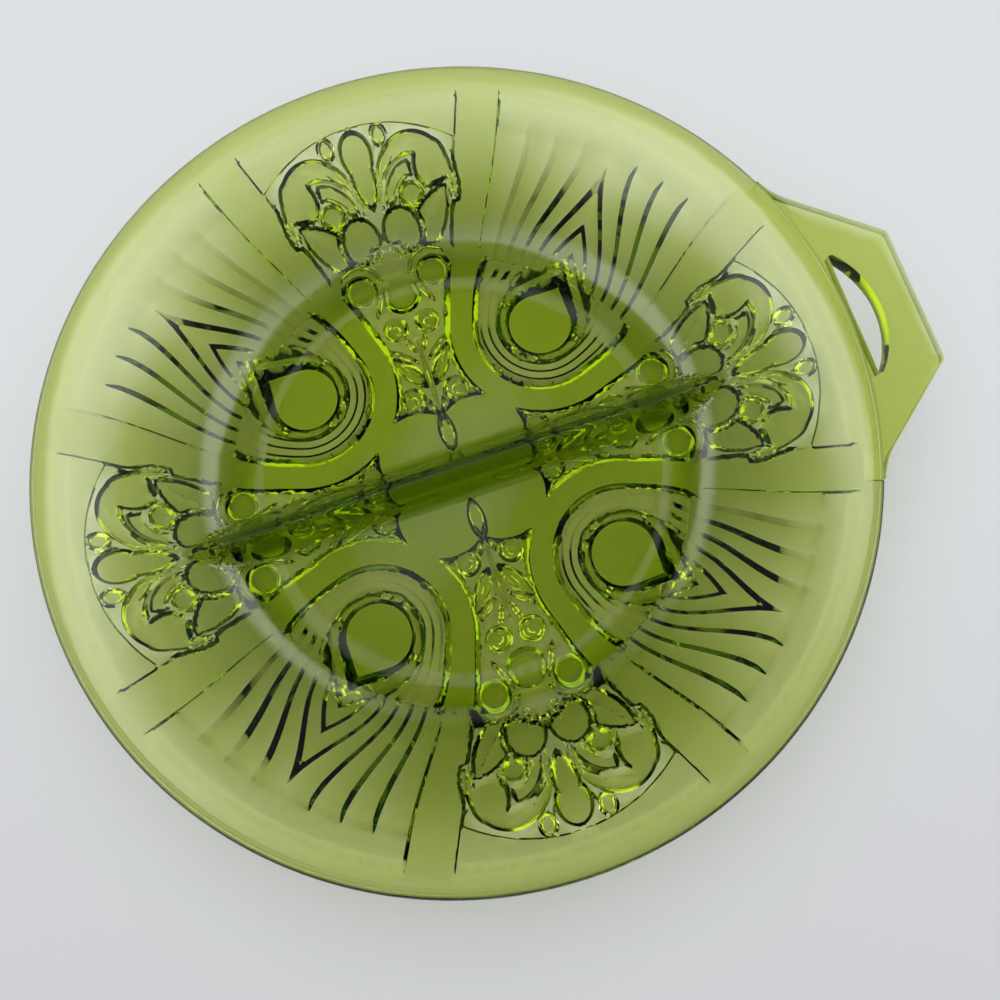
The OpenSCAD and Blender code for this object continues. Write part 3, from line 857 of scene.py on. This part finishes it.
def tabOutline():
    # one half: end, corner, side, blend into the rim
    rimR, h = dish["rimR"], handle
    root = Vector((math.sqrt(rimR * rimR - h["rootHalf"] ** 2), h["rootHalf"]))
    corner = Vector((h["endX"], h["endHalf"]))
    along = (corner - root).normalized()
    out = Vector((-along.y, along.x))
    line = root + h["blendR"] * out
    b = line.dot(along)
    run = -b + math.sqrt(b * b - line.dot(line) + (rimR + h["blendR"]) ** 2)
    mid = line + run * along
    touchSide, touchRim = mid - h["blendR"] * out, mid * rimR / (rimR + h["blendR"])
    turn = math.atan2(out.y, out.x)
    half = [(h["endX"], 0)]
    cornerMid = Vector((h["endX"] - h["cornerR"], corner.y - h["cornerR"] * math.tan(turn / 2)))
    for i in range(h["cornerSteps"] + 1):
        a = turn * i / h["cornerSteps"]
        half.append((cornerMid.x + h["cornerR"] * math.cos(a), cornerMid.y + h["cornerR"] * math.sin(a)))
    a0 = math.atan2(touchSide.y - mid.y, touchSide.x - mid.x)
    a1 = math.atan2(touchRim.y - mid.y, touchRim.x - mid.x)
    for i in range(h["blendSteps"] + 1):
        a = a0 + (a1 - a0) * i / h["blendSteps"]
        half.append((mid.x + h["blendR"] * math.cos(a), mid.y + h["blendR"] * math.sin(a)))
    return half


def tabMesh():
    h = handle
    half = tabOutline()
    endA = math.atan2(half[-1][1], half[-1][0])
    turns = [endA * i / h["inSteps"] for i in range(h["inSteps"], -1, -1)]
    ring = half + [(h["inTop"] * math.cos(a), h["inTop"] * math.sin(a)) for a in turns]
    loop = ring + [(x, -y) for x, y in reversed(ring[1:-1])]
    arcR = (h["slotW"] ** 2 + h["slotArcHalf"] ** 2) / (2 * h["slotW"])
    slot = [(h["slotX"], -h["slotHalf"]), (h["slotX"], 0), (h["slotX"], h["slotHalf"])]
    for i in range(2 * h["slotSteps"] + 1):
        y = h["slotHalf"] * (1 - i / h["slotSteps"])
        slot.append((h["slotX"] + h["slotW"] - arcR + math.sqrt(arcR ** 2 - y * y), y))
    bm = bmesh.new()
    low = dish["height"] - h["drop"] - h["thick"]
    edges = []
    for points in (loop, slot):
        verts = [bm.verts.new((x, y, low)) for x, y in points]
        edges += [bm.edges.new((verts[i - 1], verts[i])) for i in range(len(verts))]
    bmesh.ops.triangle_fill(bm, edges=edges, use_beauty=True, use_dissolve=False)
    made = bmesh.ops.extrude_face_region(bm, geom=bm.faces[:])["geom"]
    top = [g for g in made if isinstance(g, bmesh.types.BMVert)]
    bmesh.ops.translate(bm, verts=top, vec=(0, 0, h["thick"]))
    bmesh.ops.recalc_face_normals(bm, faces=bm.faces)
    sharp = [e for e in bm.edges if len(e.link_faces) == 2 and e.calc_face_angle() > h["sharp"]
             and min(v.co.xy.length for v in e.verts) > h["inTop"] + 0.3]
    bmesh.ops.bevel(bm, geom=sharp, offset=h["soft"], offset_type="OFFSET", segments=h["softSteps"],
                    profile=0.5, affect="EDGES", material=-1, clamp_overlap=True)
    for v in bm.verts:
        if v.co.xy.length < h["inTop"] + 0.1 and v.co.z < low + h["thick"] / 2:
            v.co.xy *= h["inFoot"] / h["inTop"]
    return bm


# Materials
class Socket:
    # A socket or number that takes part in plain arithmetic
    def __init__(self, tree, value):
        self.tree, self.value = tree, value

    def node(self, kind, settings=None, **inputs):
        # inputs go by name, with _ for a space, or by number: i0, i1
        made = self.tree.nodes.new(kind)
        for key, value in (settings or {}).items():
            setattr(made, key, value)
        for key, value in inputs.items():
            numbered = key[0] == "i" and key[1:].isdigit()
            target = made.inputs[int(key[1:]) if numbered else key.replace("_", " ")]
            value = value.value if isinstance(value, Socket) else value
            if isinstance(value, bpy.types.NodeSocket):
                self.tree.links.new(value, target)
            else:
                target.default_value = value
        return made

    def math(self, operation, other=0.0, flip=False):
        a, b = (other, self) if flip else (self, other)
        return Socket(self.tree, self.node("ShaderNodeMath", {"operation": operation}, i0=a, i1=b).outputs[0])

    def ramp(self, span, low, high):
        # from low to high as the value goes over the span, level beyond it
        made = self.node("ShaderNodeMapRange", {"interpolation_type": "SMOOTHSTEP"}, Value=self,
                         From_Min=span[0], From_Max=span[1], To_Min=low, To_Max=high)
        return Socket(self.tree, made.outputs["Result"])

    def __add__(self, other):
        return self.math("ADD", other)

    def __mul__(self, other):
        return self.math("MULTIPLY", other)

    def __sub__(self, other):
        return self.math("SUBTRACT", other)

    def __rsub__(self, other):
        return self.math("SUBTRACT", other, True)

    __radd__, __rmul__ = __add__, __mul__


glassLook = {
    "ior": 1.52,
    "tint": (0.776, 0.844, 0.17, 1),
    "density": 435,
    "roughness": 0.012,
    "ripple": 0.0005,
    "rippleScale": 55.0,
    "rippleDetail": 2.0,
    "rippleRough": 0.5,
    "rippleStrength": 0.35,
}


def greenGlass():
    look = glassLook
    made = bpy.data.materials.new("greenGlass")
    made.use_nodes = True
    tree = made.node_tree
    tree.nodes.clear()
    s = Socket(tree, None)
    place = s.node("ShaderNodeTexCoord").outputs["Object"]
    wave = s.node("ShaderNodeTexNoise", {"noise_dimensions": "3D"}, Vector=place, Scale=look["rippleScale"],
                  Detail=look["rippleDetail"], Roughness=look["rippleRough"])
    ripple = s.node("ShaderNodeBump", None, Strength=look["rippleStrength"], Distance=look["ripple"],
                    Height=wave.outputs["Fac"])
    shader = s.node("ShaderNodeBsdfPrincipled", None, Base_Color=(1, 1, 1, 1), Roughness=look["roughness"],
                    IOR=look["ior"], Transmission_Weight=1.0, Normal=ripple.outputs["Normal"])
    body = s.node("ShaderNodeVolumeAbsorption", None, Color=look["tint"], Density=look["density"])
    out = s.node("ShaderNodeOutputMaterial")
    tree.links.new(shader.outputs[0], out.inputs["Surface"])
    tree.links.new(body.outputs[0], out.inputs["Volume"])
    return made


# The piece
body = toObject(joined([undersideMesh(), insideMesh(), rimMesh()], "dish"), "dish_glass")
tab = toObject(tabMesh(), "tab_cutter")
join = body.modifiers.new("join", "BOOLEAN")
join.operation, join.solver, join.object = "UNION", "MANIFOLD", tab
bpy.context.view_layer.update()
baked = bpy.data.meshes.new_from_object(body.evaluated_get(bpy.context.evaluated_depsgraph_get()))
body.modifiers.clear()
body.data = baked
bpy.data.objects.remove(tab)
baked.transform(Matrix.Scale(mm, 4))
for polygon in baked.polygons:
    polygon.use_smooth = True
baked.set_sharp_from_angle(angle=math.radians(dish["smoothBelow"]))
baked.materials.clear()
baked.materials.append(greenGlass())
triangles = sum(len(p.vertices) - 2 for p in baked.polygons)
print("dish mesh:", len(baked.polygons), "faces", triangles, "triangles")
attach(body, "root")
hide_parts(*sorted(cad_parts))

# Table
tableLook = {
    "half": 10.0,
    "drop": 0.00005,
    "roughness": 0.6,
    "gloss": 0.1,
    "colour": (0.70, 0.71, 0.725, 1),
    "paintedShadeColour": (0.60, 0.60, 0.615, 1),  # painted shade: the table darker towards the near edge of the picture, where less light falls
    "farWay": (0.32, 0.93),  # direction on the table that goes up in the picture
    "fall": (0.06, -0.16),  # metres along it
}
bm = bmesh.new()
bmesh.ops.create_grid(bm, x_segments=1, y_segments=1, size=tableLook["half"])
bmesh.ops.translate(bm, verts=bm.verts, vec=(0, 0, -tableLook["drop"]))
table = toObject(bm, "table")
paleTable = bpy.data.materials.new("paleTable")
paleTable.use_nodes = True
tree = paleTable.node_tree
surface = tree.nodes["Principled BSDF"]
surface.inputs["Roughness"].default_value = tableLook["roughness"]
surface.inputs["Specular IOR Level"].default_value = tableLook["gloss"]
s = Socket(tree, None)
# Painted shade: the table's colour darkens towards the near edge of the picture, standing in for less light
# falling there
split = s.node("ShaderNodeSeparateXYZ", None, i0=s.node("ShaderNodeTexCoord").outputs["Object"])
farther = Socket(tree, split.outputs["X"]) * tableLook["farWay"][0]
farther = farther + Socket(tree, split.outputs["Y"]) * tableLook["farWay"][1]
paintedShade = s.node("ShaderNodeMix", {"data_type": "RGBA"}, i0=farther.ramp(tableLook["fall"], 0.0, 1.0),
               i6=tableLook["colour"], i7=tableLook["paintedShadeColour"])
tree.links.new(paintedShade.outputs[2], surface.inputs["Base Color"])
table.data.materials.append(paleTable)
print("table placed")

# Light. A direction's rise is 0 at the horizon and 1 straight up; its run goes along +Y.
room = {
    "colour": (0.97, 0.985, 1, 1),
    "horizon": 0.2,
    "sides": 0.36,
    "sidesRise": (0.0, 0.35),
    "overhead": 2.0,
    "overheadRise": (0.55, 0.85),
    "awayLift": 0.3,  # more light from the far side than from the near one
    "zenith": 0.25,  # share of light straight above, where the camera is
    "zenithRise": (0.945, 0.98),
    "mirrored": 3.5,  # bright places that only first reflections see
    "mirrorTop": 0.08,  # dark place above, which the dish's floor mirrors
    "topRise": (0.89, 0.82),
    "mirrorLow": 0.08,  # how much lower they end on the far side
    "lowRun": (-0.2, 0.1),
    "mirrorWall": 0.1,  # share of them below the rise that the walls mirror
    "wallRise": (0.52, 0.68),
    "middleLeft": 0.25,  # on the far side their middle is dark
    "middleWide": (0.04, 0.25),  # squares of the direction's part along X
    "middleRun": (0.1, 0.4),
    "mirrorNear": 0.15,
    "nearRun": (-0.75, -0.25),
    "mirrorFar": 0.5,
    "farRun": (0.3, 0.9),
    "glowAt": (0.0, 0.215),
    "glowTurn": 40,  # degrees from +X to its long side
    "glowSize": (0.13, 0.07),
    "glowSpan": (2.0, 0.0),
    "glow": 0.9,
    "backdrop": 0.7,  # what the camera sees past the table's edge
}
world = bpy.data.worlds.new("room")
bpy.context.scene.world = world
world.use_nodes = True
tree = world.node_tree
tree.nodes.clear()
s = Socket(tree, None)
split = s.node("ShaderNodeSeparateXYZ", None, i0=s.node("ShaderNodeTexCoord").outputs["Generated"])
rise, away, across = (Socket(tree, split.outputs[axis]) for axis in "ZYX")

plain = rise.ramp(room["sidesRise"], room["horizon"], room["sides"])
plain = plain * rise.ramp(room["overheadRise"], 1.0, room["overhead"] / room["sides"])
plain = plain * (away * room["awayLift"] + 1.0)
plain = plain * rise.ramp(room["zenithRise"], 1.0, room["zenith"])

top = rise + away.ramp(room["lowRun"], 0.0, room["mirrorLow"])
bright = top.ramp(room["topRise"], room["mirrorTop"], room["mirrored"])
bright = bright * rise.ramp(room["wallRise"], room["mirrorWall"], 1.0)
middle = 1.0 - (across * across).ramp(room["middleWide"], room["middleLeft"], 1.0)
bright = bright * (1.0 - away.ramp(room["middleRun"], 0.0, 1.0) * middle)
bright = bright * away.ramp(room["nearRun"], room["mirrorNear"], 1.0)
bright = bright * away.ramp(room["farRun"], 1.0, room["mirrorFar"])

gx, gy = across - room["glowAt"][0], away - room["glowAt"][1]
ca, sa = math.cos(math.radians(room["glowTurn"])), math.sin(math.radians(room["glowTurn"]))
gu, gv = (gx * ca + gy * sa) * (1 / room["glowSize"][0]), (gy * ca - gx * sa) * (1 / room["glowSize"][1])
glow = (gu * gu + gv * gv).ramp(room["glowSpan"], 0.0, room["glow"])
bright = bright + glow * rise.math("GREATER_THAN", 0.5)

ray = s.node("ShaderNodeLightPath")
mirror = Socket(tree, ray.outputs["Is Glossy Ray"]) * (1.0 - Socket(tree, ray.outputs["Is Transmission Ray"]))
power = plain * (1.0 - mirror) + bright * mirror
seen = Socket(tree, ray.outputs["Is Camera Ray"])
power = power * (1.0 - seen) + seen * room["backdrop"]
sky = s.node("ShaderNodeBackground", None, Color=room["colour"], Strength=power)
tree.links.new(sky.outputs[0], s.node("ShaderNodeOutputWorld").inputs["Surface"])
print("room lit")

# Camera
view = {
    "place": (-3.9, -53.3, 237.5),
    "right": (0.94742, -0.31975, -0.01240),
    "up": (0.31635, 0.93014, 0.18644),
    "lens": 31.54,
    "sensor": 36,
    "clip": (0.01, 20),
}
camera = bpy.data.objects.new("camera", bpy.data.cameras.new("camera"))
bpy.context.scene.collection.objects.link(camera)
right, up = Vector(view["right"]).normalized(), Vector(view["up"]).normalized()
turn = Matrix((right, up, right.cross(up))).transposed()
camera.matrix_world = Matrix.Translation(Vector(view["place"]) * mm) @ turn.to_4x4()
camera.data.sensor_width, camera.data.lens = view["sensor"], view["lens"]
camera.data.clip_start, camera.data.clip_end = view["clip"]
bpy.context.scene.camera = camera
bpy.context.scene.view_settings.view_transform = "Standard"
print("camera set")
